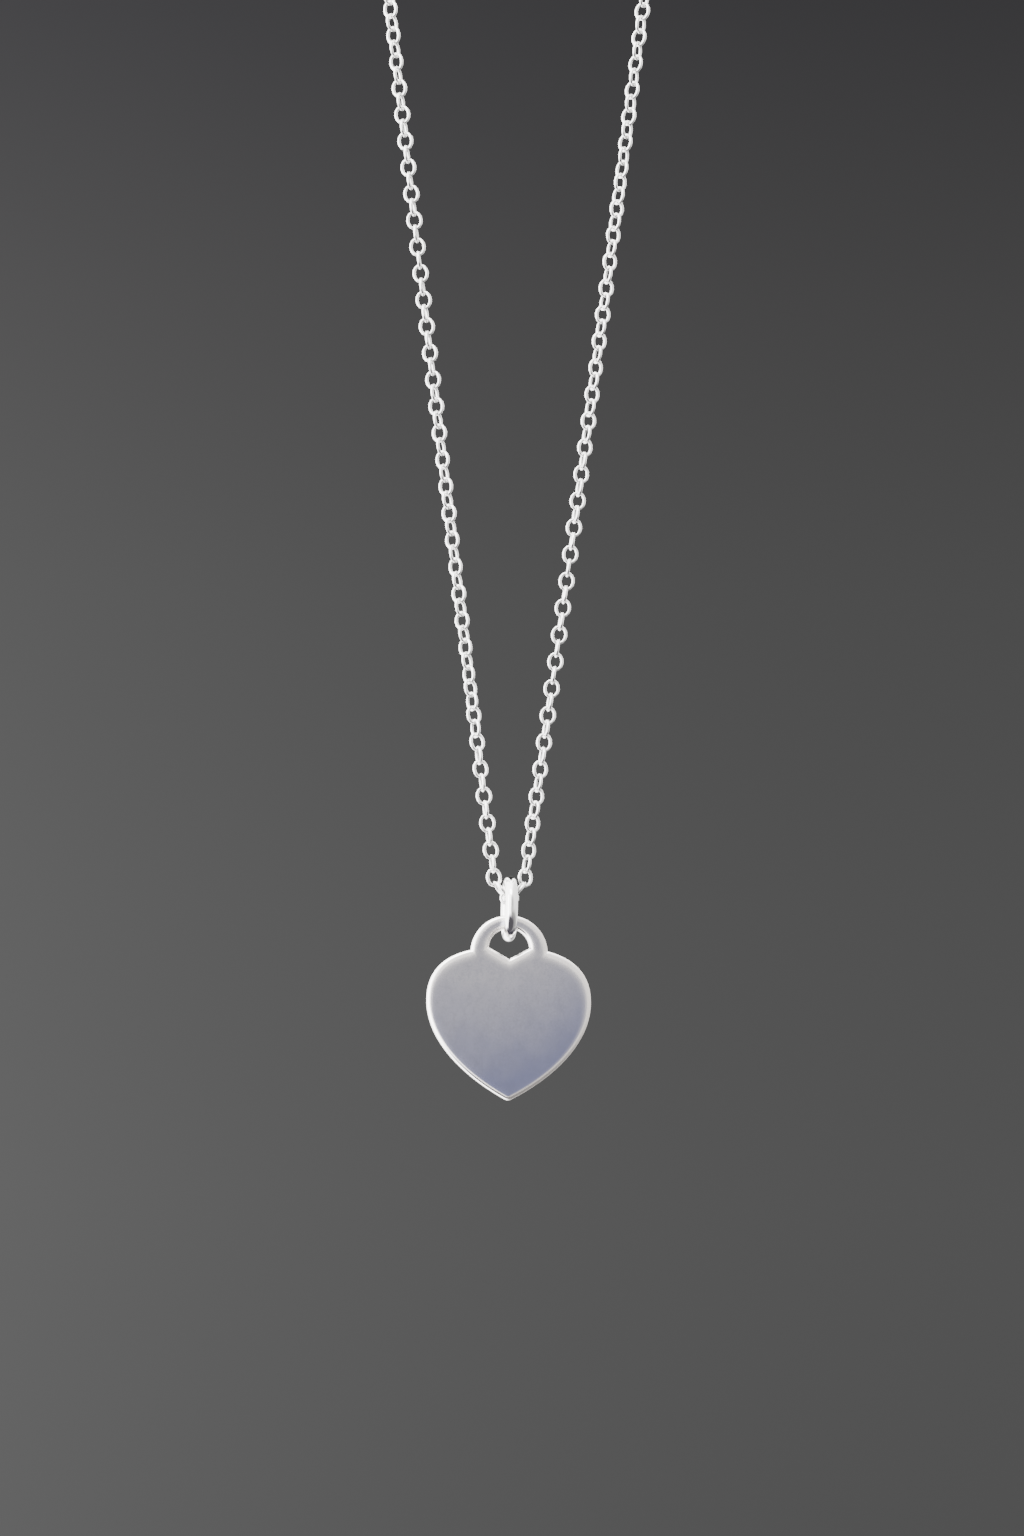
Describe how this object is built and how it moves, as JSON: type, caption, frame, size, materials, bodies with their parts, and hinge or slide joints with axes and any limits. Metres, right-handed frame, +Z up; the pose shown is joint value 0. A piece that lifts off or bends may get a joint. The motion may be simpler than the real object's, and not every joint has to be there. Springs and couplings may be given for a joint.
{
  "type": "heart pendant necklace",
  "caption": "Plain heart tag with an arched loop, hung by a thick jump ring on a fine cable chain loop with an oval clasp.",
  "frame": {"origin": "middle of the clasp, at the top of the chain loop, where the necklace hangs", "axes": "+Z up; the loop lies in the XZ plane and the front of the pendant faces -Y, turned 5 degrees"},
  "size_m": [0.0458, 0.008, 0.2143],
  "materials": {
    "heart_silver": "polished sterling silver plate, softly rounded edges",
    "ring_silver": "bright polished silver wire",
    "chain_silver": "bright polished silver links",
    "clasp_silver": "bright polished silver wire"
  },
  "bodies": {
    "necklace": {"chain": "chain_silver", "clasp": "clasp_silver"},
    "ring": {"jump_ring": "ring_silver"},
    "heart": {"heart_tag": "heart_silver"}
  },
  "joints": [
    {"name": "ring_swing", "type": "hinge", "parent": "necklace", "child": "ring", "pos_m": [0, 0, -0.18654], "axis": [0.9962, 0.0872, 0], "range_deg": [-40, 40]},
    {"name": "heart_sway", "type": "hinge", "parent": "ring", "child": "heart", "pos_m": [0, 0, -0.19199], "axis": [0.0872, -0.9962, 0], "range_deg": [-60, 60]}
  ]
}
